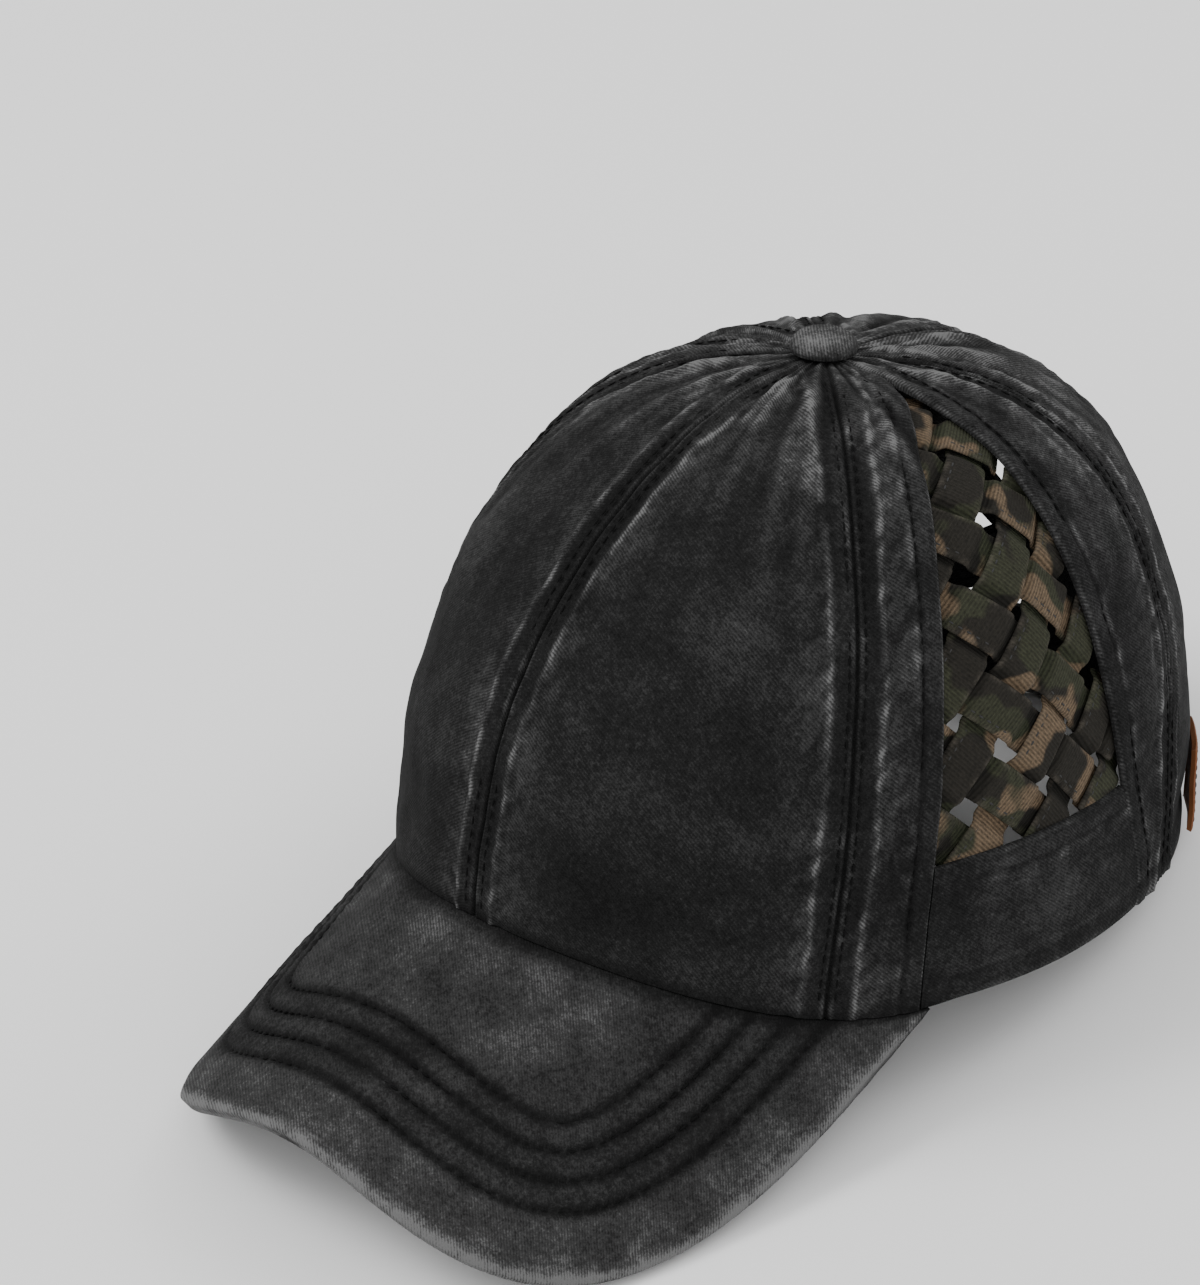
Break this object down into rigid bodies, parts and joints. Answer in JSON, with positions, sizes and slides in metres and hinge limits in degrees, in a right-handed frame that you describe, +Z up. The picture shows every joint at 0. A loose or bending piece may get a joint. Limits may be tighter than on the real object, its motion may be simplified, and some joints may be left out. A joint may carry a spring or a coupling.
{
  "type": "ponytail baseball cap",
  "caption": "Washed cotton baseball cap with a curved visor, woven side windows and an open back slit crossed by elastic.",
  "frame": {"origin": "middle of the box's underside, on the surface that the cap stands on", "axes": "+Z up from that surface, -Y out over the visor, +X towards the wearer's left"},
  "size_m": [0.1712, 0.2576, 0.1386],
  "materials": {
    "washed_twill": "washed black cotton twill, worn grey along seams and ridges",
    "visor_twill": "washed black cotton twill with rows of dark stitching, worn light at the edge",
    "button_twill": "cloth-covered, worn mid grey",
    "woven_camouflage": "fine-ribbed cotton in charcoal, olive and tan patches",
    "elastic": "matte ribbed black elastic",
    "lining": "smooth black cotton sweatband",
    "fuzzy_tape": "black loop tape with a fuzzy pile",
    "leather": "matte brown leather with a stitched border"
  },
  "bodies": {
    "root": {"back_panel_left": "washed_twill", "back_panel_right": "washed_twill", "button": "button_twill", "closure_strap": "washed_twill", "closure_tape": "fuzzy_tape", "elastic_strap_lower_over": "elastic", "elastic_strap_lower_under": "elastic", "elastic_strap_upper_over": "elastic", "elastic_strap_upper_under": "elastic", "front_panel_left": "washed_twill", "front_panel_right": "washed_twill", "front_side_strip_left": "washed_twill", "front_side_strip_right": "washed_twill", "leather_tag": "leather", "lower_side_band_left": "washed_twill", "lower_side_band_right": "washed_twill", "rear_side_strip_left": "washed_twill", "rear_side_strip_right": "washed_twill", "sweatband": "lining", "visor_top_cover": "visor_twill", "visor_under_cover": "visor_twill", "woven_strap_falling_1_left": "woven_camouflage", "woven_strap_falling_1_right": "woven_camouflage", "woven_strap_falling_2_left": "woven_camouflage", "woven_strap_falling_2_right": "woven_camouflage", "woven_strap_falling_3_left": "woven_camouflage", "woven_strap_falling_3_right": "woven_camouflage", "woven_strap_falling_4_left": "woven_camouflage", "woven_strap_falling_4_right": "woven_camouflage", "woven_strap_falling_5_left": "woven_camouflage", "woven_strap_falling_5_right": "woven_camouflage", "woven_strap_falling_6_left": "woven_camouflage", "woven_strap_falling_6_right": "woven_camouflage", "woven_strap_falling_7_left": "woven_camouflage", "woven_strap_falling_7_right": "woven_camouflage", "woven_strap_rising_1_left": "woven_camouflage", "woven_strap_rising_1_right": "woven_camouflage", "woven_strap_rising_2_left": "woven_camouflage", "woven_strap_rising_2_right": "woven_camouflage", "woven_strap_rising_3_left": "woven_camouflage", "woven_strap_rising_3_right": "woven_camouflage", "woven_strap_rising_4_left": "woven_camouflage", "woven_strap_rising_4_right": "woven_camouflage", "woven_strap_rising_5_left": "woven_camouflage", "woven_strap_rising_5_right": "woven_camouflage", "woven_strap_rising_6_left": "woven_camouflage", "woven_strap_rising_6_right": "woven_camouflage", "woven_strap_rising_7_left": "woven_camouflage", "woven_strap_rising_7_right": "woven_camouflage"}
  },
  "joints": []
}
